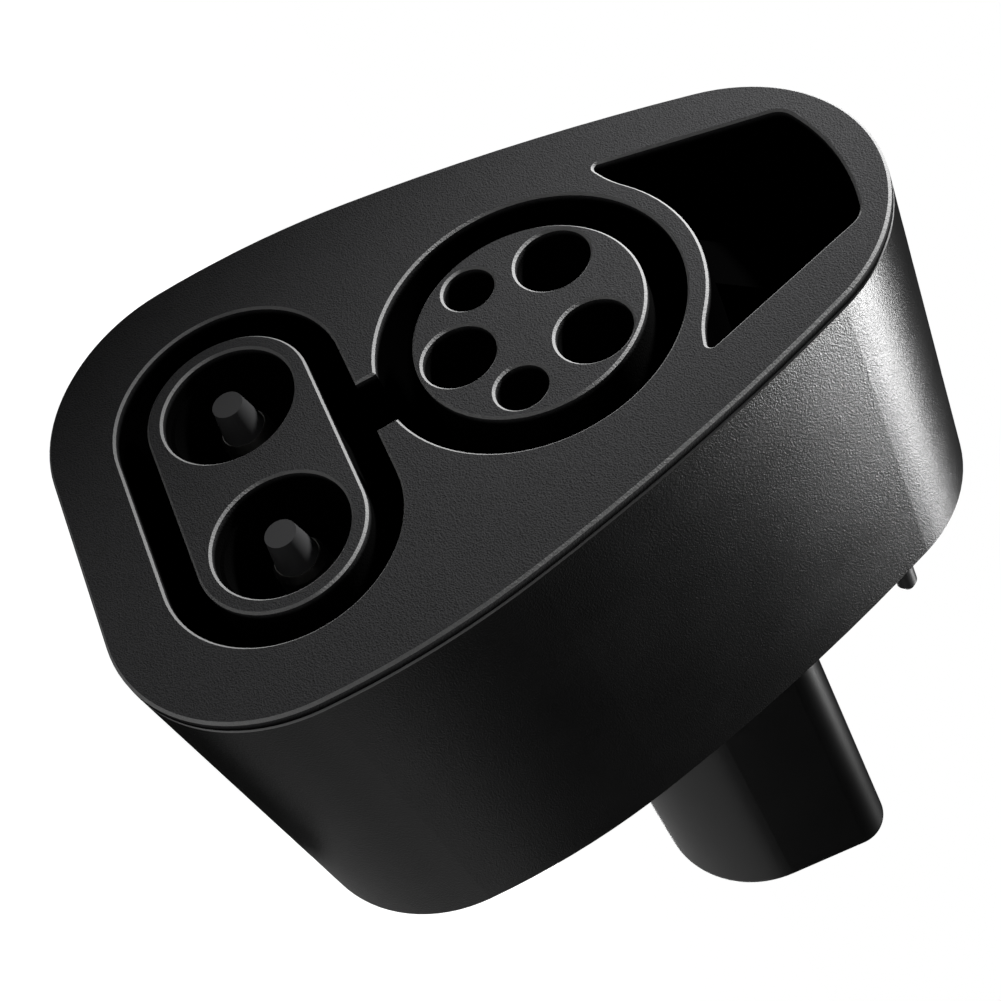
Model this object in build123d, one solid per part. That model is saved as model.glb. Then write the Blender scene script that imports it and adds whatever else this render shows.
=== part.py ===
from build123d import *
import os
from math import cos, radians, sin

# DC charging adapter: combo inlet on the front, five-contact plug nose on the back.
# Built in millimetres about the centre of the AC boss, with the face at y = 0,
# y running back into the car and z up. One move at the end stands it on the floor.

# ---- body outline: a flat, then arcs that each start tangent to the last ----
FLAT_HALF = 16.5
BOTTOM_Z = -71.25
SIDE_ARCS = ((25.8, 86.5), (120.3, 15.3), (320.3, 9.8))
HEAD_TURN = 180.0 - sum(turn for _, turn in SIDE_ARCS)

# ---- depths, measured back from the face ----
PLATE_BACK = 1.65
RIM_FRONT = 1.95
BODY_BACK = 64.6
BACK_WALL = 2.4
WALL = 1.8
BACK_INSET = 2.6
BACK_LIFT = 1.4
EDGE_BREAK = 0.4
RIM_BREAK = 0.3
RIM_CUT = 0.35
BACK_BREAK = 0.4
WALL_BACK = BODY_BACK - BACK_WALL

# ---- inlet well ----
WELL_DEPTH = 40.0
FLOOR = 2.5
FLOOR_BACK = WELL_DEPTH + FLOOR
WELL_WALL = 1.6
AC_GROOVE_R = 22.9
AC_BOSS_R = 17.2
AC_SPIGOT_R = 15.0
DC_Z = -43.4
DC_HALF_PITCH = 13.5
DC_GROOVE_R = 17.8
DC_BOSS_R = 12.75
DC_SPIGOT_R = 10.5
CHANNEL_HALF = 4.9
CHANNEL_LENGTH = 8.0

# ---- latch pocket above the AC groove ----
POCKET_INNER_R = 25.85
POCKET_NECK_TURN = 34.0
POCKET_TIP = (21.3, 18.6)
POCKET_CORNER = (12.7, 45.95)
POCKET_TOP = 48.27
POCKET_TIP_R = 0.8
POCKET_CORNER_R = 3.6
POCKET_DEPTH = 26.0
POCKET_FLOOR = 2.0
POCKET_WALL = 1.4
LINER_GAP = 0.2
CATCH_HALF = 5.2
CATCH_START = 6.4
CATCH_LENGTH = 8.1
CATCH_RISE = 8.6
CATCH_LAND = 1.1

# ---- contacts in the inlet ----
LINE_POS = (7.93, 7.10)
LINE_R = 5.64
EARTH_POS = (0.0, -10.82)
EARTH_R = 5.5
SIGNAL_POS = (10.8, -5.26)
SIGNAL_R = 3.89
BORE_DEPTH = 34.0
PIN_RECESS = 10.0
EARTH_PIN_R = 1.4
SIGNAL_PIN_R = 0.75
DC_HOLE_R = 10.3
DC_BORE_R = 9.7
DC_STEP_DEPTH = 3.0
DC_HOLE_DEPTH = 36.0
DC_PIN_R = 4.0
DC_TIP_R = 3.4
DC_ROOT_R = 4.5
DC_CAP_FRONT_R = 2.35
DC_CAP_BACK_R = 3.3
DC_CAP_LENGTH = 5.6
CAP_STEM_R = 1.5
CAP_STEM_LENGTH = 5.0
DC_COLLAR_R = 6.0
STUD_R = 3.0

# ---- busbars ----
COLLAR_LENGTH = 7.5
BAR_FRONT = FLOOR_BACK + COLLAR_LENGTH
BAR_THICK = 3.0
BAR_BACK = BAR_FRONT + BAR_THICK
BAR_HALF_WIDTH = 5.5
NUT_ACROSS = 10.0
NUT_THICK = 3.0

# ---- plug nose ----
NOSE_TIP = 141.3
NOSE_SHOULDER_HALF = 19.5
NOSE_TOP = 16.8
NOSE_CORNER = 5.7
NOSE_ROUND_R = 18.3
NOSE_ROUND_Z = -1.6
NOSE_EDGE = 3.0
NOSE_WALL = 2.4
NOSE_TOP_WALL = 3.8
NOSE_FRONT_WALL = 2.5
FLANGE_HALF = 21.3
FLANGE_TOP = 24.5
FLANGE_BOTTOM = -28.5
FLANGE_THICK = 2.0
GASKET_THICK = 0.5
FLANGE_SCREW = (14.0, 21.3, -25.0)
SOCKET_POS = (9.0, 6.5)
SOCKET_R = 5.6
SOCKET_BORE_R = 4.03
SOCKET_BORE = 32.0
SOCKET_MOUTH_R = 4.6
ROD_R = 4.5
EARTH_SOCKET_R = 3.2
EARTH_BORE_R = 2.03
EARTH_ROD_R = 2.0
SIGNAL_SOCKET_POS = (9.3, -8.6)
SIGNAL_SOCKET_R = 1.9
SIGNAL_BORE_R = 0.83
WIRE_R = 0.8
CARRIER_FRONT = 90.0
RETAINER_THICK = 3.0
SOCKET_END = NOSE_TIP - NOSE_FRONT_WALL
SLOT_HALF = 4.0
SLOT_DEPTH = 1.7

# ---- lock pin ----
LOCK_Z = 37.7
LOCK_R = 1.85
LOCK_FRONT = POCKET_DEPTH + 1.5
LOCK_TIP = 101.7
LOCK_COLLAR_R = 3.6
LOCK_COLLAR_THICK = 1.5
LOCK_COLLAR_BACK = 58.6
BUSH_R = 3.4
BUSH_FRONT_LENGTH = 6.0
RUNNING = 0.04
SPRING_WIRE_R = 0.35
SPRING_MEAN_R = 2.75
SPRING_TURNS = 6

# ---- screws ----
POST_R = 2.5
POST_BACK = 58.0
POSTS = ((35.0, -35.5), (30.0, -6.0), (25.1, 12.2))
SCREW_R = 1.0
SCREW_HEAD_R = 2.1
SCREW_HEAD = 1.4
SCREW_BITE = 10.0


# ---- helpers ----
def slab(sketch, front, back):
    """A flat shape drawn looking along y, made solid from front to back."""
    return extrude(Plane.XZ.offset(-front) * sketch, -(back - front))


def rod(x, z, radius, front, back):
    return slab(Pos(x, z) * Circle(radius), front, back)


def tube(x, z, outer, inner, front, back):
    return slab(Pos(x, z) * (Circle(outer) - Circle(inner)), front, back)


def turned(x, z, profile):
    """A turned piece about a line along y, from (radius, depth) points."""
    face = make_face(Polyline(*profile, close=True))
    return Pos(x, 0, z) * revolve(face, Axis.Y)


def front_edges(shape):
    """Every edge that lies in the face."""
    return [e for e in shape.edges() if abs(e.bounding_box().max.Y) < 0.001]


def arc_points(centre, radius, start, turn):
    """Start, middle and end of an arc walked anticlockwise from a heading."""
    points = []
    for part in (0.0, 0.5, 1.0):
        heading = radians(start + turn * part)
        points.append((centre[0] + radius * sin(heading), centre[1] - radius * cos(heading)))
    return points


def head_radius():
    """The end arc's radius, solved so that the outline meets its mirror squarely."""
    reach = FLAT_HALF
    heading = 0.0
    for radius, turn in SIDE_ARCS:
        reach += radius * (sin(radians(heading + turn)) - sin(radians(heading)))
        heading += turn
    return reach / sin(radians(heading))


def outline(inset):
    """The body outline, every arc drawn about the same centre but inset evenly."""
    end = (FLAT_HALF, BOTTOM_Z)
    heading = 0.0
    half = [((0.0, BOTTOM_Z + inset), (FLAT_HALF, BOTTOM_Z + inset))]
    for radius, turn in SIDE_ARCS + ((head_radius(), HEAD_TURN),):
        centre = (end[0] - radius * sin(radians(heading)), end[1] + radius * cos(radians(heading)))
        end = arc_points(centre, radius, heading, turn)[2]
        half.append(arc_points(centre, radius - inset, heading, turn))
        heading += turn
    half[-1][2] = (0.0, half[-1][2][1])
    edges = [Line(*half[0])] + [ThreePointArc(*points) for points in half[1:]]
    for points in reversed(half):
        flipped = [(-x, z) for x, z in reversed(points)]
        edges.append(Line(*flipped) if len(flipped) == 2 else ThreePointArc(*flipped))
    return make_face(edges)


def draft_share(depth):
    """How far down the drafted housing a depth lies, from 0 at its front to 1 at its back."""
    return max(depth - PLATE_BACK, 0) / (BODY_BACK - PLATE_BACK)


def inset_at(depth):
    return BACK_INSET * draft_share(depth)


def section(depth, inset):
    """The outline at a depth: the lower end leans in more than the latch end does."""
    return Pos(0, BACK_LIFT * draft_share(depth)) * outline(inset)


def drafted(sections):
    """A straight-walled solid through (depth, inset) sections of the outline."""
    return loft([Plane.XZ.offset(-depth) * section(depth, inset) for depth, inset in sections], ruled=True)


def stadium(radius):
    return Pos(0, DC_Z) * SlotCenterToCenter(2 * DC_HALF_PITCH, 2 * radius)


def groove_shape(extra):
    """The two grooves' outer edges and the short channel that joins them."""
    bridge_z = (DC_Z + DC_GROOVE_R - AC_GROOVE_R) / 2
    channel = Pos(0, bridge_z) * Rectangle(2 * (CHANNEL_HALF + extra), CHANNEL_LENGTH)
    return Circle(AC_GROOVE_R + extra) + stadium(DC_GROOVE_R + extra) + channel


def pocket_shape():
    """The latch pocket: its foot follows a ring about the AC boss, then flares to two tips."""
    lean = radians(POCKET_NECK_TURN)
    neck = (POCKET_INNER_R * sin(lean), POCKET_INNER_R * cos(lean))
    flare = TangentArc(neck, POCKET_TIP, tangent=(cos(lean), -sin(lean)))
    side = Line(POCKET_TIP, POCKET_CORNER)
    foot = ThreePointArc((-neck[0], neck[1]), (0, POCKET_INNER_R), neck)
    top = ThreePointArc(POCKET_CORNER, (0, POCKET_TOP), (-POCKET_CORNER[0], POCKET_CORNER[1]))
    face = make_face([foot, flare, side, top, mirror(side, Plane.YZ), mirror(flare, Plane.YZ)])
    corners = [v for v in face.vertices() if v.Y > POCKET_CORNER[1] - 1]
    face = fillet(corners, POCKET_CORNER_R)
    tips = [v for v in face.vertices() if v.Y < POCKET_TIP[1] + 1]
    return fillet(tips, POCKET_TIP_R)


def nose_section(inset, top_inset):
    """Flat top and rounded shoulders, the sides drawing in to a round underside."""
    corner = NOSE_CORNER - inset
    across = NOSE_SHOULDER_HALF - NOSE_CORNER
    shoulder_z = NOSE_TOP - top_inset - corner
    circles = [Pos(x, shoulder_z) * Circle(corner) for x in (-across, across)]
    circles.append(Pos(0, NOSE_ROUND_Z) * Circle(NOSE_ROUND_R - inset))
    return make_hull([edge for circle in circles for edge in circle.edges()])


def both(x, z):
    return ((-x, z), (x, z))


def all_posts():
    return [spot for x, z in POSTS for spot in both(x, z)]


def all_flange_screws():
    x, upper, lower = FLANGE_SCREW
    return [(-x, upper), (x, upper), (-x, lower), (x, lower)]


parts = {}

# ---- face plate: broken front edge, thin side band, six screw posts behind ----
pocket = pocket_shape()
groove = groove_shape(0)
plate = drafted(((0, EDGE_BREAK), (EDGE_BREAK, 0), (PLATE_BACK, 0)))
plate -= slab(groove, -1, PLATE_BACK + 1)
plate -= slab(pocket, -1, PLATE_BACK + 1)
cut_rims = [e for wire in plate.faces().sort_by(Axis.Y)[0].inner_wires() for e in wire.edges()]
parts["face_plate"] = chamfer(cut_rims, RIM_CUT)
for number, (x, z) in enumerate(all_posts(), 1):
    standoff = rod(x, z, POST_R, PLATE_BACK, POST_BACK)
    standoff -= rod(x, z, SCREW_R, POST_BACK - SCREW_BITE, POST_BACK)
    parts["standoff_" + str(number)] = standoff

# ---- inlet well: groove walls and floor ----
well_outside = groove_shape(WELL_WALL)
well = slab(well_outside, PLATE_BACK, FLOOR_BACK)
well -= slab(groove, PLATE_BACK, WELL_DEPTH)
well -= rod(0, 0, AC_SPIGOT_R, WELL_DEPTH, FLOOR_BACK)
well -= slab(stadium(DC_SPIGOT_R), WELL_DEPTH, FLOOR_BACK)
parts["inlet_well"] = well

# ---- latch pocket liner with the catch ----
liner_back = POCKET_DEPTH + POCKET_FLOOR
room = outline(inset_at(RIM_FRONT) + WALL + LINER_GAP)
room &= section(liner_back, inset_at(liner_back) + WALL + LINER_GAP)
liner = slab((offset(pocket, POCKET_WALL) & room) - well_outside, PLATE_BACK, liner_back)
liner -= slab(pocket, PLATE_BACK, POCKET_DEPTH)
catch_foot = POCKET_INNER_R - 1.2
catch = make_face(Polyline(
    (CATCH_START, catch_foot),
    (CATCH_START, POCKET_INNER_R - 0.45),
    (CATCH_START + CATCH_LENGTH, POCKET_INNER_R - 0.45 + CATCH_RISE),
    (CATCH_START + CATCH_LENGTH + CATCH_LAND, POCKET_INNER_R - 0.45 + CATCH_RISE),
    (CATCH_START + CATCH_LENGTH + CATCH_LAND, catch_foot),
    close=True,
))
ramp = extrude(Plane.YZ * catch, CATCH_HALF, both=True)
liner += ramp - rod(0, 0, AC_GROOVE_R + WELL_WALL, 0, WELL_DEPTH)
bush_front_back = POCKET_DEPTH + BUSH_FRONT_LENGTH
liner += rod(0, LOCK_Z, BUSH_R + 1.4, liner_back, bush_front_back)
liner -= rod(0, LOCK_Z, BUSH_R, POCKET_DEPTH, bush_front_back)
parts["latch_pocket"] = liner

# ---- AC contact boss ----
boss = rod(0, 0, AC_BOSS_R, 0, WELL_DEPTH)
boss += rod(0, 0, AC_SPIGOT_R, WELL_DEPTH, FLOOR_BACK)
for x, z in both(*LINE_POS):
    boss -= rod(x, z, LINE_R, 0, BORE_DEPTH)
boss -= rod(*EARTH_POS, EARTH_R, 0, BORE_DEPTH)
boss -= rod(*EARTH_POS, EARTH_PIN_R, BORE_DEPTH, FLOOR_BACK)
for x, z in both(*SIGNAL_POS):
    boss -= rod(x, z, SIGNAL_R, 0, BORE_DEPTH)
    boss -= rod(x, z, SIGNAL_PIN_R, BORE_DEPTH, FLOOR_BACK)
parts["ac_contact_boss"] = chamfer(front_edges(boss), RIM_CUT)

# ---- DC contact boss ----
boss = slab(stadium(DC_BOSS_R), 0, WELL_DEPTH)
boss += slab(stadium(DC_SPIGOT_R), WELL_DEPTH, FLOOR_BACK)
for x, z in both(DC_HALF_PITCH, DC_Z):
    boss -= rod(x, z, DC_HOLE_R, 0, DC_STEP_DEPTH)
    boss -= rod(x, z, DC_BORE_R, DC_STEP_DEPTH, DC_HOLE_DEPTH)
    boss -= rod(x, z, DC_ROOT_R, DC_HOLE_DEPTH, FLOOR_BACK)
parts["dc_contact_boss"] = chamfer(front_edges(boss), RIM_CUT)

# ---- seal in the seam between face plate and housing ----
parts["housing_seal"] = slab(outline(0.6) - outline(WALL), PLATE_BACK, RIM_FRONT)

# ---- rear housing: drafted shell with a flat back ----
shell = drafted((
    (RIM_FRONT, inset_at(RIM_FRONT) + RIM_BREAK),
    (RIM_FRONT + RIM_BREAK, inset_at(RIM_FRONT + RIM_BREAK)),
    (BODY_BACK - BACK_BREAK, inset_at(BODY_BACK - BACK_BREAK)),
    (BODY_BACK, BACK_INSET + BACK_BREAK),
))
shell -= drafted((
    (RIM_FRONT - 0.5, inset_at(RIM_FRONT) + WALL),
    (WALL_BACK, inset_at(WALL_BACK) + WALL),
))
hollow = drafted(((RIM_FRONT, 0.5), (BODY_BACK - 0.5, BACK_INSET + 0.5)))
for x, z in all_posts():
    shell += rod(x, z, POST_R + 0.3, POST_BACK, WALL_BACK + 0.5) & hollow
    shell -= rod(x, z, SCREW_R, POST_BACK, BODY_BACK)
    shell -= rod(x, z, SCREW_HEAD_R, BODY_BACK - SCREW_HEAD, BODY_BACK)
shell -= slab(nose_section(0, 0), WALL_BACK - 1, BODY_BACK + 1)
for x, z in all_flange_screws():
    shell -= rod(x, z, SCREW_R, WALL_BACK, BODY_BACK - 0.6)
shell += rod(0, LOCK_Z, BUSH_R + 1.6, LOCK_COLLAR_BACK, WALL_BACK + 0.5)
shell -= rod(0, LOCK_Z, BUSH_R, LOCK_COLLAR_BACK, BODY_BACK - 1.2)
shell -= rod(0, LOCK_Z, LOCK_R + 0.25, LOCK_COLLAR_BACK, BODY_BACK)
parts["rear_housing"] = shell

# ---- nose shell: flange inside the housing, smooth round-edged tip ----
flange_front = WALL_BACK - GASKET_THICK - FLANGE_THICK
flange_plate = Pos(0, (FLANGE_TOP + FLANGE_BOTTOM) / 2) * RectangleRounded(
    2 * FLANGE_HALF, FLANGE_TOP - FLANGE_BOTTOM, 4
)
nose = slab(nose_section(0, 0), flange_front, NOSE_TIP)
nose = fillet([e for e in nose.edges() if e.center().Y > NOSE_TIP - 0.01], NOSE_EDGE)
nose += slab(flange_plate, flange_front, flange_front + FLANGE_THICK)
cavity = nose_section(NOSE_WALL, NOSE_TOP_WALL)
nose -= slab(cavity, flange_front, SOCKET_END)
for x, z in both(*SOCKET_POS):
    nose -= turned(x, z, (
        (0, SOCKET_END),
        (SOCKET_MOUTH_R, SOCKET_END),
        (SOCKET_MOUTH_R, NOSE_TIP - 0.8),
        (SOCKET_MOUTH_R + 0.8, NOSE_TIP),
        (0, NOSE_TIP),
    ))
nose -= rod(*EARTH_POS, EARTH_BORE_R + 0.5, SOCKET_END, NOSE_TIP)
for x, z in both(*SIGNAL_SOCKET_POS):
    nose -= rod(x, z, SIGNAL_BORE_R + 0.5, SOCKET_END, NOSE_TIP)
slot_back = NOSE_TIP - 14
slot = Box(2 * SLOT_HALF, 7, 2 * SLOT_DEPTH)
nose -= Pos(0, slot_back - 3.5, NOSE_TOP) * slot
for x, z in all_flange_screws():
    nose -= rod(x, z, SCREW_R, flange_front, flange_front + FLANGE_THICK)
parts["nose_shell"] = nose

gasket = flange_plate - nose_section(0, 0)
for x, z in all_flange_screws():
    gasket -= Pos(x, z) * Circle(SCREW_R)
parts["nose_gasket"] = slab(gasket, WALL_BACK - GASKET_THICK, WALL_BACK)

# ---- contact carrier and retainer inside the nose ----
core = nose_section(NOSE_WALL, NOSE_TOP_WALL)
socket_spots = [(x, z, SOCKET_R) for x, z in both(*SOCKET_POS)]
socket_spots += [(*EARTH_POS, EARTH_SOCKET_R)]
socket_spots += [(x, z, SIGNAL_SOCKET_R) for x, z in both(*SIGNAL_SOCKET_POS)]
rod_spots = [(x, z, ROD_R) for x, z in both(*SOCKET_POS)]
rod_spots += [(*EARTH_POS, EARTH_ROD_R)]
rod_spots += [(x, z, WIRE_R) for x, z in both(*SIGNAL_SOCKET_POS)]
carrier = core
for x, z, radius in socket_spots:
    carrier -= Pos(x, z) * Circle(radius)
parts["contact_carrier"] = slab(carrier, CARRIER_FRONT, SOCKET_END)
retainer = core
for x, z, radius in rod_spots:
    retainer -= Pos(x, z) * Circle(radius)
parts["socket_retainer"] = slab(retainer, CARRIER_FRONT - RETAINER_THICK, CARRIER_FRONT)

# ---- DC path on each side: pin, tip cap, nuts, busbar, socket, sensor ----
for side, sign in (("left", -1), ("right", 1)):
    px = sign * DC_HALF_PITCH
    sx = sign * SOCKET_POS[0]
    sz = SOCKET_POS[1]
    pin = turned(px, DC_Z, (
        (0, DC_CAP_LENGTH + CAP_STEM_LENGTH),
        (CAP_STEM_R, DC_CAP_LENGTH + CAP_STEM_LENGTH),
        (CAP_STEM_R, DC_CAP_LENGTH),
        (DC_TIP_R, DC_CAP_LENGTH),
        (DC_PIN_R, DC_CAP_LENGTH + 1.2),
        (DC_PIN_R, DC_HOLE_DEPTH),
        (DC_ROOT_R, DC_HOLE_DEPTH),
        (DC_ROOT_R, FLOOR_BACK),
        (DC_COLLAR_R, FLOOR_BACK),
        (DC_COLLAR_R, BAR_FRONT),
        (STUD_R, BAR_FRONT),
        (STUD_R, BAR_BACK + NUT_THICK),
        (0, BAR_BACK + NUT_THICK),
    ))
    parts["dc_pin_" + side] = pin
    parts["dc_pin_cap_" + side] = turned(px, DC_Z, (
        (0, 0),
        (DC_CAP_FRONT_R, 0),
        (DC_CAP_BACK_R, DC_CAP_LENGTH),
        (CAP_STEM_R, DC_CAP_LENGTH),
        (CAP_STEM_R, DC_CAP_LENGTH + CAP_STEM_LENGTH),
        (0, DC_CAP_LENGTH + CAP_STEM_LENGTH),
    ))
    nut = RegularPolygon(NUT_ACROSS / 2, 6, major_radius=False) - Circle(STUD_R)
    parts["dc_pin_nut_" + side] = slab(Pos(px, DC_Z) * nut, BAR_BACK, BAR_BACK + NUT_THICK)
    parts["dc_socket_nut_" + side] = slab(Pos(sx, sz) * nut, BAR_FRONT - NUT_THICK, BAR_FRONT)
    bar = make_hull([
        *(Pos(px, DC_Z) * Circle(BAR_HALF_WIDTH)).edges(),
        *(Pos(sx, sz) * Circle(BAR_HALF_WIDTH)).edges(),
    ])
    bar -= Pos(px, DC_Z) * Circle(STUD_R) + Pos(sx, sz) * Circle(STUD_R)
    parts["busbar_" + side] = slab(bar, BAR_FRONT, BAR_BACK)
    socket = turned(sx, sz, (
        (0, BAR_FRONT - NUT_THICK),
        (STUD_R, BAR_FRONT - NUT_THICK),
        (STUD_R, BAR_BACK),
        (ROD_R, BAR_BACK),
        (ROD_R, CARRIER_FRONT),
        (SOCKET_R, CARRIER_FRONT),
        (SOCKET_R, SOCKET_END),
        (SOCKET_BORE_R, SOCKET_END),
        (SOCKET_BORE_R, SOCKET_END - SOCKET_BORE),
        (0, SOCKET_END - SOCKET_BORE),
    ))
    parts["dc_socket_" + side] = socket
    sensor_x = sign * (DC_HALF_PITCH + SOCKET_POS[0]) / 2
    sensor_z = (DC_Z + sz) / 2
    sensor = Box(5, 2.4, 8)
    sensor = fillet([e for e in sensor.edges() if e.center().Y > 1], 0.8)
    parts["temp_sensor_" + side] = Pos(sensor_x, BAR_BACK + 1.2, sensor_z) * sensor

# ---- earth path: straight through, joined by a coupler ----
earth_join = BAR_BACK + 8.0
parts["earth_pin"] = turned(*EARTH_POS, (
    (0, PIN_RECESS),
    (EARTH_PIN_R - 0.5, PIN_RECESS),
    (EARTH_PIN_R, PIN_RECESS + 1),
    (EARTH_PIN_R, FLOOR_BACK),
    (EARTH_ROD_R, FLOOR_BACK),
    (EARTH_ROD_R, earth_join),
    (0, earth_join),
))
parts["earth_coupler"] = tube(*EARTH_POS, 3.2, EARTH_ROD_R, earth_join - 5, earth_join + 5)
parts["earth_socket"] = turned(*EARTH_POS, (
    (0, earth_join),
    (EARTH_ROD_R, earth_join),
    (EARTH_ROD_R, CARRIER_FRONT),
    (EARTH_SOCKET_R, CARRIER_FRONT),
    (EARTH_SOCKET_R, SOCKET_END),
    (EARTH_BORE_R, SOCKET_END),
    (EARTH_BORE_R, SOCKET_END - 25),
    (0, SOCKET_END - 25),
))

# ---- pilot and proximity: pin, wire between the busbars, socket ----
WIRE_START = FLOOR_BACK + 3.0
WIRE_END = CARRIER_FRONT - RETAINER_THICK - 1.0
WIRE_GATE = (2.6, -4.5)
for name, sign in (("pilot", -1), ("proximity", 1)):
    px, pz = sign * SIGNAL_POS[0], SIGNAL_POS[1]
    sx, sz = sign * SIGNAL_SOCKET_POS[0], SIGNAL_SOCKET_POS[1]
    parts[name + "_pin"] = turned(px, pz, (
        (0, PIN_RECESS + 2),
        (SIGNAL_PIN_R - 0.3, PIN_RECESS + 2),
        (SIGNAL_PIN_R, PIN_RECESS + 2.6),
        (SIGNAL_PIN_R, FLOOR_BACK),
        (WIRE_R + 0.4, FLOOR_BACK),
        (WIRE_R + 0.4, WIRE_START),
        (0, WIRE_START),
    ))
    path = Spline(
        (px, WIRE_START, pz),
        ((px + sign * WIRE_GATE[0]) / 2, (WIRE_START + BAR_FRONT) / 2, (pz + WIRE_GATE[1]) / 2),
        (sign * WIRE_GATE[0], BAR_FRONT, WIRE_GATE[1]),
        (sign * WIRE_GATE[0], BAR_BACK, WIRE_GATE[1]),
        ((sign * WIRE_GATE[0] + sx) / 2, BAR_BACK + 6, (sz + WIRE_GATE[1]) / 2),
        (sx, BAR_BACK + 13, sz),
        (sx, WIRE_END, sz),
        tangents=((0, 1, 0), (0, 1, 0)),
    )
    wire_section = Plane(origin=path @ 0, z_dir=path % 0) * Circle(WIRE_R)
    parts[name + "_wire"] = sweep(wire_section, path=path)
    parts[name + "_socket"] = turned(sx, sz, (
        (0, WIRE_END),
        (WIRE_R, WIRE_END),
        (WIRE_R, CARRIER_FRONT),
        (SIGNAL_SOCKET_R, CARRIER_FRONT),
        (SIGNAL_SOCKET_R, SOCKET_END),
        (SIGNAL_BORE_R, SOCKET_END),
        (SIGNAL_BORE_R, SOCKET_END - 18),
        (0, SOCKET_END - 18),
    ))

# ---- lock pin: the car's port pushes it in, its front end then blocks the latch ----
parts["lock_pin"] = turned(0, LOCK_Z, (
    (0, LOCK_FRONT),
    (LOCK_R - 0.4, LOCK_FRONT),
    (LOCK_R, LOCK_FRONT + 0.4),
    (LOCK_R, LOCK_TIP - 1.2),
    (LOCK_R - 0.6, LOCK_TIP),
    (0, LOCK_TIP),
))
collar_front = LOCK_COLLAR_BACK - LOCK_COLLAR_THICK
parts["lock_collar"] = tube(0, LOCK_Z, LOCK_COLLAR_R, LOCK_R, collar_front, LOCK_COLLAR_BACK)
bush_bore = LOCK_R + RUNNING
parts["lock_bush_front"] = tube(0, LOCK_Z, BUSH_R, bush_bore, POCKET_DEPTH, bush_front_back)
lock_seal_front = WALL_BACK - 0.2
parts["lock_bush_rear"] = tube(0, LOCK_Z, BUSH_R, bush_bore, LOCK_COLLAR_BACK, lock_seal_front)
parts["lock_seal"] = tube(0, LOCK_Z, BUSH_R, bush_bore, lock_seal_front, BODY_BACK - 1.2)
spring_room = collar_front - bush_front_back - 2 * SPRING_WIRE_R
coil = Helix(spring_room / SPRING_TURNS, spring_room, SPRING_MEAN_R)
coil_section = Plane(origin=coil @ 0, z_dir=coil % 0) * Circle(SPRING_WIRE_R)
spring = Rot(-90, 0, 0) * sweep(coil_section, path=coil)
parts["lock_spring"] = Pos(0, bush_front_back + SPRING_WIRE_R, LOCK_Z) * spring

# ---- screws ----
for number, (x, z) in enumerate(all_posts(), 1):
    screw = rod(x, z, SCREW_HEAD_R, BODY_BACK - SCREW_HEAD, BODY_BACK - 0.1)
    screw += rod(x, z, SCREW_R, POST_BACK - SCREW_BITE + 1, BODY_BACK - SCREW_HEAD)
    screw -= slab(Pos(x, z) * RegularPolygon(1.1, 6), BODY_BACK - 0.9, BODY_BACK - 0.1)
    parts["housing_screw_" + str(number)] = screw
for number, (x, z) in enumerate(all_flange_screws(), 1):
    screw = rod(x, z, SCREW_HEAD_R, flange_front - SCREW_HEAD, flange_front)
    screw += rod(x, z, SCREW_R, flange_front, BODY_BACK - 0.8)
    screw -= slab(Pos(x, z) * RegularPolygon(1.1, 6), flange_front - SCREW_HEAD, flange_front - 0.6)
    parts["nose_screw_" + str(number)] = screw

# ---- stand it on its lower end, centred over the floor, and write every piece ----
place = Pos(0, -NOSE_TIP / 2, -BOTTOM_Z)
os.makedirs("parts", exist_ok=True)
for name, shape in parts.items():
    solid = shape.solids()
    assert len(solid) == 1, name + " has " + str(len(solid)) + " solids"
    export_step(place * solid[0], "parts/" + name + ".step")
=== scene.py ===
import bpy
from mathutils import Matrix, Vector


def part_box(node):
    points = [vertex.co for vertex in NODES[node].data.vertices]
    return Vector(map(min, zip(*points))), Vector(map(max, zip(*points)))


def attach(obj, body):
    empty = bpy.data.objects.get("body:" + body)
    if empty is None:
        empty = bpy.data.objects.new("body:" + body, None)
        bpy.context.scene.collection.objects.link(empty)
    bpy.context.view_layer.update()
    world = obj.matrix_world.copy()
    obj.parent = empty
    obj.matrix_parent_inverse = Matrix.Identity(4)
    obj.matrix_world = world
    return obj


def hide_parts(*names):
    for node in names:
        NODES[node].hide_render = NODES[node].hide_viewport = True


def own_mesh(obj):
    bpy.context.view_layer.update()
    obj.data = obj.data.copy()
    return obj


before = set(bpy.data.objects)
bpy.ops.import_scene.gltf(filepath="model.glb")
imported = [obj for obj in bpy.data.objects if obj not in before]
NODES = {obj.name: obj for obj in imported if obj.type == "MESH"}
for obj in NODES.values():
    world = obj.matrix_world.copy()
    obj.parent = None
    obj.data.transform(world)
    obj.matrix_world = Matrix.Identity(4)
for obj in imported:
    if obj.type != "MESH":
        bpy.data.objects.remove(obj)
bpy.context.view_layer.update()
MM = 0.001


# ---- where the face and the AC boss's axis lie, read from the frame, in metres ----
boss_low, boss_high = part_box("ac_contact_boss")
FACE_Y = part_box("face_plate")[0][1]
AC_Z = (boss_low[2] + boss_high[2]) / 2

# ---- the moulded skin: noise scales are per metre, and the height is in metres ----
GRAIN_SCALE = 3600.0
FINE_GRAIN_SCALE = 5200.0
GRAIN_SOFTNESS = 0.6
GRAIN_HEIGHT = 0.00009
SPECKLE = (0.35, 1.65)
BLOTCH_SCALE = 70.0

# ---- where an edge counts as rubbed, and how much of the rub shows ----
RUB_STARTS = 0.5
RUB_FULL = 0.62
RUB_PATCH_SCALE = 260.0
EDGE_RUB = 0.6

# ---- softened rims, painted with a highlight: the share of the normal along Y where they leave a wall and meet the face, and their lighter colour ----
RIM_LEAVES_WALL = (0.25, 0.45)
RIM_MEETS_FACE = (0.97, 0.88)
RIM_HIGHLIGHT_COLOUR = (0.50, 0.50, 0.50)
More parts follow.
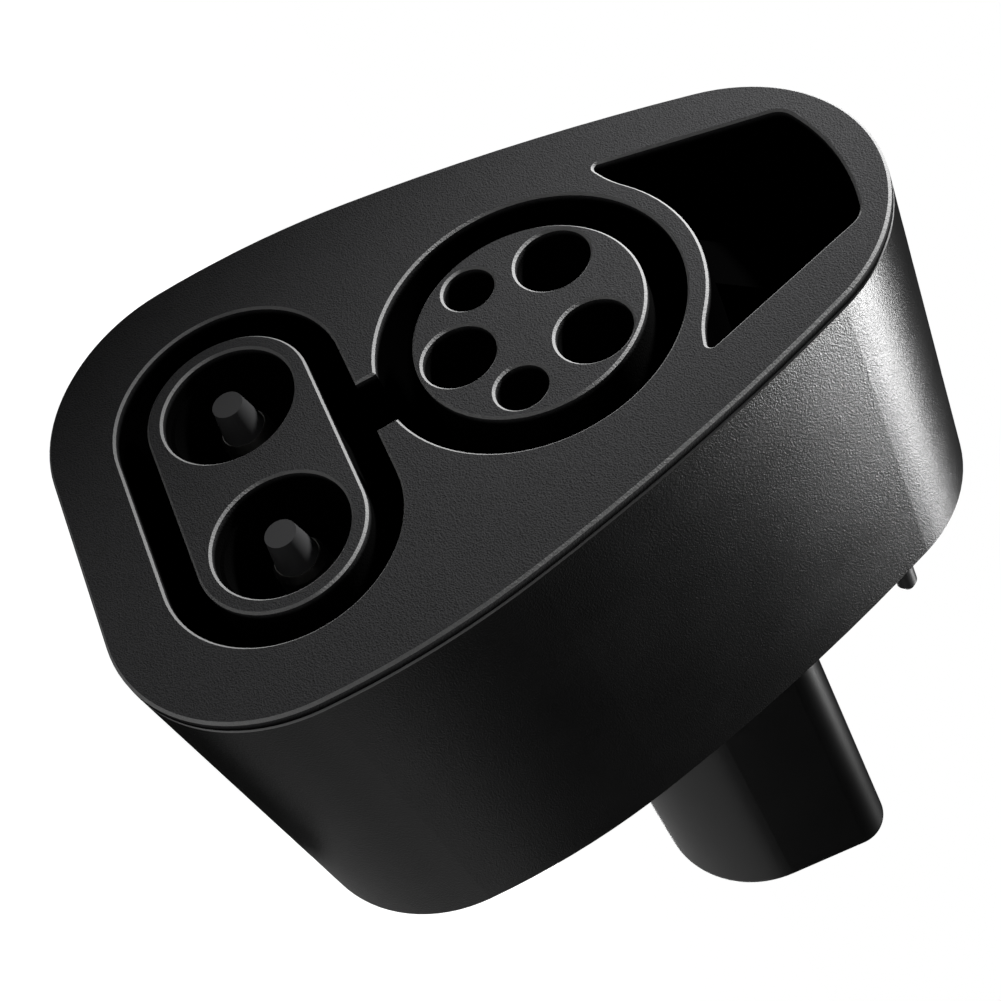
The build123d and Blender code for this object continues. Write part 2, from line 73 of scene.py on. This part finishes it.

# ---- painted shade: grooves and holes are painted dark over these depths behind the face, in millimetres ----
RECESS_STARTS = 0.3
RECESS_FULL = 1.5
RECESS_SHADE_COLOUR = (0.0006, 0.0006, 0.0006)
RECESS_SHADE_ROUGHNESS = 1.0

# ---- faint streaks in metal, and how far they move its roughness down and up ----
STREAK_SCALE = 400.0
STREAK_SHINIER = 0.06
STREAK_DULLER = 0.08


def place(x, y, z):
    """A point in metres, from millimetres about the AC boss's axis where it meets the face."""
    return Vector((x * MM, y * MM + FACE_Y, z * MM + AC_Z))


# ---- shared shader groups ----
def socket(tree, name, kind, way):
    """One input or output of a shared group."""
    tree.interface.new_socket(name=name, in_out=way, socket_type=kind)


def feed(tree, value, target):
    """An input linked to another node's output, or set to a plain number or colour."""
    if hasattr(value, "is_output"):
        tree.links.new(value, target)
    elif isinstance(value, tuple):
        target.default_value = (*value, 1.0)
    else:
        target.default_value = value


def math_node(tree, operation, first, second):
    """The result of one sum on two values."""
    node = tree.nodes.new("ShaderNodeMath")
    node.operation = operation
    feed(tree, first, node.inputs[0])
    feed(tree, second, node.inputs[1])
    return node.outputs[0]


def step(tree, value, start, end):
    """A smooth 0 to 1 rise between two values."""
    node = tree.nodes.new("ShaderNodeMapRange")
    node.interpolation_type = "SMOOTHSTEP"
    node.inputs["From Min"].default_value = start
    node.inputs["From Max"].default_value = end
    tree.links.new(value, node.inputs["Value"])
    return node.outputs["Result"]


def object_coords(tree):
    """Places on the part, so that a pattern stays put on it."""
    return tree.nodes.new("ShaderNodeTexCoord").outputs["Object"]


def noise(tree, scale, detail):
    """Soft random patches all over the part."""
    node = tree.nodes.new("ShaderNodeTexNoise")
    node.inputs["Scale"].default_value = scale
    node.inputs["Detail"].default_value = detail
    tree.links.new(object_coords(tree), node.inputs["Vector"])
    return node.outputs["Fac"]


def moulded_grain():
    """Fine pebbled mould texture: its normal and its height."""
    tree = bpy.data.node_groups.new("moulded grain", "ShaderNodeTree")
    socket(tree, "Scale", "NodeSocketFloat", "INPUT")
    socket(tree, "Depth", "NodeSocketFloat", "INPUT")
    socket(tree, "Normal", "NodeSocketVector", "OUTPUT")
    socket(tree, "Height", "NodeSocketFloat", "OUTPUT")
    source = tree.nodes.new("NodeGroupInput")
    target = tree.nodes.new("NodeGroupOutput")
    cells = tree.nodes.new("ShaderNodeTexVoronoi")
    cells.feature = "SMOOTH_F1"
    cells.inputs["Smoothness"].default_value = GRAIN_SOFTNESS
    tree.links.new(object_coords(tree), cells.inputs["Vector"])
    tree.links.new(source.outputs["Scale"], cells.inputs["Scale"])
    fine = noise(tree, FINE_GRAIN_SCALE, detail=1.0)
    mixed = math_node(tree, "ADD", cells.outputs["Distance"], fine)
    bump = tree.nodes.new("ShaderNodeBump")
    bump.inputs["Distance"].default_value = GRAIN_HEIGHT
    tree.links.new(source.outputs["Depth"], bump.inputs["Strength"])
    tree.links.new(mixed, bump.inputs["Height"])
    tree.links.new(bump.outputs["Normal"], target.inputs["Normal"])
    tree.links.new(mixed, target.inputs["Height"])
    return tree


def wear():
    """How much an edge has been rubbed: 0 on flats, towards 1 on convex edges."""
    tree = bpy.data.node_groups.new("edge wear", "ShaderNodeTree")
    socket(tree, "Amount", "NodeSocketFloat", "INPUT")
    socket(tree, "Wear", "NodeSocketFloat", "OUTPUT")
    source = tree.nodes.new("NodeGroupInput")
    target = tree.nodes.new("NodeGroupOutput")
    geometry = tree.nodes.new("ShaderNodeNewGeometry")
    ramp = tree.nodes.new("ShaderNodeMapRange")
    ramp.inputs["From Min"].default_value = RUB_STARTS
    ramp.inputs["From Max"].default_value = RUB_FULL
    tree.links.new(geometry.outputs["Pointiness"], ramp.inputs["Value"])
    patchy = noise(tree, RUB_PATCH_SCALE, detail=3.0)
    product = math_node(tree, "MULTIPLY", ramp.outputs["Result"], patchy)
    scaled = math_node(tree, "MULTIPLY", product, source.outputs["Amount"])
    tree.links.new(scaled, target.inputs["Wear"])
    return tree


def rim_highlight_mask():
    """1 on the narrow sloping bands that soften the face's edges, 0 on flats and walls; it places the
    painted highlight.
    """
    tree = bpy.data.node_groups.new("rim painted highlight", "ShaderNodeTree")
    socket(tree, "Rim", "NodeSocketFloat", "OUTPUT")
    target = tree.nodes.new("NodeGroupOutput")
    split = tree.nodes.new("ShaderNodeSeparateXYZ")
    normal = tree.nodes.new("ShaderNodeTexCoord").outputs["Normal"]
    tree.links.new(normal, split.inputs["Vector"])
    lean = math_node(tree, "ABSOLUTE", split.outputs["Y"], 0.0)
    leaves_wall = step(tree, lean, *RIM_LEAVES_WALL)
    meets_face = step(tree, lean, *RIM_MEETS_FACE)
    both = math_node(tree, "MULTIPLY", leaves_wall, meets_face)
    tree.links.new(both, target.inputs["Rim"])
    return tree


def recess_shade_mask():
    """Where painted shade goes: 0 at the face, rising to 1 a short way down inside the grooves and holes.
    """
    tree = bpy.data.node_groups.new("recess painted shade", "ShaderNodeTree")
    socket(tree, "Recess", "NodeSocketFloat", "OUTPUT")
    target = tree.nodes.new("NodeGroupOutput")
    split = tree.nodes.new("ShaderNodeSeparateXYZ")
    tree.links.new(object_coords(tree), split.inputs["Vector"])
    near = FACE_Y + RECESS_STARTS * MM
    far = FACE_Y + RECESS_FULL * MM
    tree.links.new(step(tree, split.outputs["Y"], near, far), target.inputs["Recess"])
    return tree


GRAIN = moulded_grain()
WEAR = wear()
RIM_HIGHLIGHT_MASK = rim_highlight_mask()
RECESS_SHADE_MASK = recess_shade_mask()


def use_group(tree, group, **values):
    """A shared group placed in one material, with that material's own values."""
    node = tree.nodes.new("ShaderNodeGroup")
    node.node_tree = group
    for name, value in values.items():
        node.inputs[name].default_value = value
    return node


def mix_colour(tree, factor, first, second, way="MIX"):
    """A colour that moves from the first towards the second as the factor rises."""
    node = tree.nodes.new("ShaderNodeMix")
    node.data_type = "RGBA"
    node.blend_type = way
    feed(tree, factor, node.inputs["Factor"])
    feed(tree, first, node.inputs["A"])
    feed(tree, second, node.inputs["B"])
    return node.outputs["Result"]


def map_range(tree, value, low, high):
    """A 0 to 1 value spread over a range."""
    node = tree.nodes.new("ShaderNodeMapRange")
    tree.links.new(value, node.inputs["Value"])
    node.inputs["To Min"].default_value = low
    node.inputs["To Max"].default_value = high
    return node.outputs["Result"]


def start_material(name):
    """A new material, with its node tree and its main shader."""
    material = bpy.data.materials.new(name)
    material.use_nodes = True
    tree = material.node_tree
    return material, tree, tree.nodes["Principled BSDF"]


def blend(tree, factor, first, second):
    """A number that moves from the first value to the second as the factor rises."""
    node = tree.nodes.new("ShaderNodeMix")
    feed(tree, factor, node.inputs["Factor"])
    feed(tree, first, node.inputs["A"])
    feed(tree, second, node.inputs["B"])
    return node.outputs["Result"]


def plastic(
    name, colour, worn, roughness, grain=None, depth=0.3, spread=0.05, specular=0.5,
    rim=None, rim_highlight_colour=None, painted_recess_shade=False,
):
    """Moulded plastic with mottled roughness and rubbed edges.

    It takes a pebbled skin if grain is given, and a painted highlight (a lighter colour and its own
    roughness) on the softened rims if rim is given.
    If the recess shade is asked for, painted shade falls to near black down inside holes and grooves.
    """
    material, tree, shader = start_material(name)
    edge = use_group(tree, WEAR, Amount=EDGE_RUB)
    tint = mix_colour(tree, edge.outputs["Wear"], colour, worn)
    blotch = noise(tree, BLOTCH_SCALE, detail=4.0)
    rough = map_range(tree, blotch, roughness - spread, roughness + spread)
    if grain:
        skin = use_group(tree, GRAIN, Scale=grain, Depth=depth)
        tree.links.new(skin.outputs["Normal"], shader.inputs["Normal"])
        speckle = map_range(tree, skin.outputs["Height"], *SPECKLE)
        tint = mix_colour(tree, 1.0, tint, speckle, "MULTIPLY")
    # Painted highlight: the softened rims take a lighter colour and their own roughness.
    if rim:
        highlight_band = use_group(tree, RIM_HIGHLIGHT_MASK)
        rough = blend(tree, highlight_band.outputs["Rim"], rough, rim)
        tint = mix_colour(tree, highlight_band.outputs["Rim"], tint, rim_highlight_colour)
    # Painted shade: inside holes and grooves the colour falls to near black and the roughness rises.
    if painted_recess_shade:
        recess_shade = use_group(tree, RECESS_SHADE_MASK)
        tint = mix_colour(tree, recess_shade.outputs["Recess"], tint, RECESS_SHADE_COLOUR)
        rough = blend(tree, recess_shade.outputs["Recess"], rough, RECESS_SHADE_ROUGHNESS)
    tree.links.new(tint, shader.inputs["Base Color"])
    tree.links.new(rough, shader.inputs["Roughness"])
    shader.inputs["Specular IOR Level"].default_value = specular
    return material


def metal(name, colour, roughness):
    """Bare or plated metal with faint streaks in its roughness."""
    material, tree, shader = start_material(name)
    shader.inputs["Base Color"].default_value = (*colour, 1.0)
    shader.inputs["Metallic"].default_value = 1.0
    streak = noise(tree, STREAK_SCALE, detail=3.0)
    rough = map_range(tree, streak, roughness - STREAK_SHINIER, roughness + STREAK_DULLER)
    tree.links.new(rough, shader.inputs["Roughness"])
    return material


# The face and insulator share a pebbled skin, a painted highlight on their softened rims and painted
# shade inside their grooves and holes.
FACE_SKIN_AND_PAINTED_LIGHT = {
    "grain": GRAIN_SCALE,
    "depth": 0.8,
    "specular": 0.06,
    "rim": 0.4,
    "rim_highlight_colour": RIM_HIGHLIGHT_COLOUR,
    "painted_recess_shade": True,
}

# A plastic gives its colour, its colour where rubbed and its roughness; a metal its colour and roughness.
LOOKS = {
    "face": plastic("face plastic", (0.040, 0.040, 0.041), (0.06, 0.06, 0.062), 0.55, **FACE_SKIN_AND_PAINTED_LIGHT),
    "boss": plastic("insulator plastic", (0.042, 0.042, 0.043), (0.06, 0.06, 0.062), 0.55, **FACE_SKIN_AND_PAINTED_LIGHT),
    # The housing's rims carry a painted highlight, far lighter than the housing's own colour.
    "housing": plastic(
        "housing plastic", (0.003, 0.003, 0.0031), (0.006, 0.006, 0.006), 0.32,
        grain=GRAIN_SCALE, depth=0.35, rim=0.3, rim_highlight_colour=(0.40, 0.40, 0.40),
    ),
    # Painted shade: the well and latch pocket are black plastic, made near black with no reflection to
    # stand in for the shade deep inside them.
    "well": plastic("well painted shade", (0.001, 0.001, 0.001), (0.001, 0.001, 0.001), 0.95, specular=0.0),
    "nose": plastic("nose plastic", (0.002, 0.002, 0.0021), (0.02, 0.02, 0.02), 0.30, spread=0.03),
    "carrier": plastic("carrier plastic", (0.014, 0.014, 0.014), (0.03, 0.03, 0.03), 0.55),
    "cap": plastic("pin cap plastic", (0.09, 0.09, 0.092), (0.09, 0.09, 0.092), 0.6, specular=0.1),
    "pin_plastic": plastic("lock pin plastic", (0.02, 0.02, 0.021), (0.04, 0.04, 0.04), 0.42),
    "rubber": plastic("seal rubber", (0.006, 0.006, 0.006), (0.01, 0.01, 0.01), 0.8),
    "epoxy": plastic("sensor epoxy", (0.02, 0.03, 0.025), (0.04, 0.05, 0.045), 0.4),
    "wire": plastic("wire insulation", (0.5, 0.5, 0.47), (0.5, 0.5, 0.47), 0.45),
    "bush": plastic("bush polymer", (0.28, 0.24, 0.17), (0.3, 0.26, 0.2), 0.5),
    "silver": metal("silver plate", (0.72, 0.71, 0.68), 0.3),
    "copper": metal("copper", (0.75, 0.42, 0.28), 0.34),
    "steel": metal("zinc-plated steel", (0.46, 0.46, 0.47), 0.36),
    "spring": metal("spring steel", (0.5, 0.5, 0.5), 0.28),
}

LOOK_BY_WORD = (
    ("face_plate", "face"),
    ("rear_housing", "housing"),
    ("inlet_well", "well"),
    ("latch_pocket", "well"),
    ("standoff", "housing"),
    ("contact_boss", "boss"),
    ("nose_shell", "nose"),
    ("contact_carrier", "carrier"),
    ("socket_retainer", "carrier"),
    ("pin_cap", "cap"),
    ("lock_pin", "pin_plastic"),
    ("lock_bush", "bush"),
    ("lock_spring", "spring"),
    ("lock_collar", "steel"),
    ("seal", "rubber"),
    ("gasket", "rubber"),
    ("sensor", "epoxy"),
    ("wire", "wire"),
    ("screw", "steel"),
    ("nut", "steel"),
    ("busbar", "copper"),
)


def look_of(node):
    """A node's finish, by the first word of the table that its name holds; contacts are silver plated."""
    for word, look in LOOK_BY_WORD:
        if word in node:
            return LOOKS[look]
    return LOOKS["silver"]


for name, obj in NODES.items():
    obj.data.materials.clear()
    obj.data.materials.append(look_of(name))


# ---- the lock spring shortens towards its front end as its pin is pressed in; here a copy of it with its own mesh hangs on the adapter body, and the part itself is hidden ----
spring = bpy.data.objects.new("lock_spring_coil", NODES["lock_spring"].data.copy())
bpy.context.scene.collection.objects.link(spring)
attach(spring, "adapter_body")
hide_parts("lock_spring")
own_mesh(spring)


# ---- floor and light: plain and pale to the camera, dim to everything else ----
FLOOR_SIZE = 40.0
FLOOR_GREY = (0.3, 0.3, 0.3, 1.0)
WHITE = (1.0, 1.0, 1.0, 1.0)


def seen_only(tree, bright, dim):
    """Light strength: bright where the camera looks straight at it, dim for all other rays."""
    path = tree.nodes.new("ShaderNodeLightPath")
    return map_range(tree, path.outputs["Is Camera Ray"], dim, bright)


bpy.ops.object.select_all(action="DESELECT")
bpy.ops.mesh.primitive_plane_add(size=FLOOR_SIZE)
floor = bpy.context.active_object
floor.name = "floor"
floor_look, floor_tree, floor_shader = start_material("pale floor")
floor_shader.inputs["Base Color"].default_value = FLOOR_GREY
floor_shader.inputs["Roughness"].default_value = 0.9
floor_shader.inputs["Specular IOR Level"].default_value = 0.1
floor_shader.inputs["Emission Color"].default_value = WHITE
floor_glow = seen_only(floor_tree, bright=1.0, dim=0.01)
floor_tree.links.new(floor_glow, floor_shader.inputs["Emission Strength"])
floor.data.materials.append(floor_look)

world = bpy.data.worlds.new("studio")
bpy.context.scene.world = world
world.use_nodes = True
backdrop = world.node_tree.nodes["Background"]
backdrop.inputs["Color"].default_value = WHITE
world_glow = seen_only(world.node_tree, bright=1.0, dim=0.006)
world.node_tree.links.new(world_glow, backdrop.inputs["Strength"])


def set_lamp(name, kind, where, aim, power):
    """A lamp aimed at a point of the part, and out of the camera's sight."""
    data = bpy.data.lights.new(name, kind)
    data.energy = power
    made = bpy.data.objects.new(name, data)
    bpy.context.scene.collection.objects.link(made)
    made.location = where
    made.rotation_mode = "QUATERNION"
    made.rotation_quaternion = (Vector(aim) - Vector(where)).to_track_quat("-Z", "Y")
    made.visible_camera = False
    return data


# The key stands behind and above, where the side wall and the nose mirror it to the camera.
key = set_lamp("key", "AREA", where=place(135, 330, 340), aim=place(25, 40, 40), power=1.7)
key.size = 0.14
# The face is raked from past the latch end, and the pool of light fades towards the DC end.
rake = set_lamp("rake", "SPOT", where=place(-120, -130, 260), aim=place(-14, 0, 50), power=6.2)
rake.spot_size = 0.50
rake.spot_blend = 1.0
rake.shadow_soft_size = 0.02
# A small lamp by the camera finds the pin caps down in their holes.
fill = set_lamp("fill", "AREA", where=place(200, -260, -20), aim=place(0, 0, -30), power=0.045)
fill.size = 0.04
# A broad lamp behind shows the back wall and the nose's mouth when the part is turned round.
back_lamp = set_lamp("back", "AREA", where=place(-260, 420, -90), aim=place(0, 60, -20), power=2.0)
back_lamp.size = 0.3

# ---- camera: standing off the face to the right, rolled so the latch end is at the right ----
LENS = 80.36
SENSOR_WIDTH = 36.0
NEAREST_SEEN = 0.01
STAND_OFF = Vector((218.25, -221.17, -7.25)) * MM
RIGHT = Vector((0.34513, 0.32859, 0.87915))
DOWN = Vector((0.67336, 0.56584, -0.47583))
camera_data = bpy.data.cameras.new("camera")
camera_data.lens = LENS
camera_data.sensor_width = SENSOR_WIDTH
camera_data.clip_start = NEAREST_SEEN
camera = bpy.data.objects.new("camera", camera_data)
bpy.context.scene.collection.objects.link(camera)
back = RIGHT.cross(-DOWN)
turn = Matrix((RIGHT, -DOWN, back)).transposed()
camera.rotation_mode = "QUATERNION"
camera.rotation_quaternion = turn.to_quaternion()
camera.location = place(0, 0, 0) + STAND_OFF
bpy.context.scene.camera = camera
bpy.context.scene.view_settings.view_transform = "Standard"
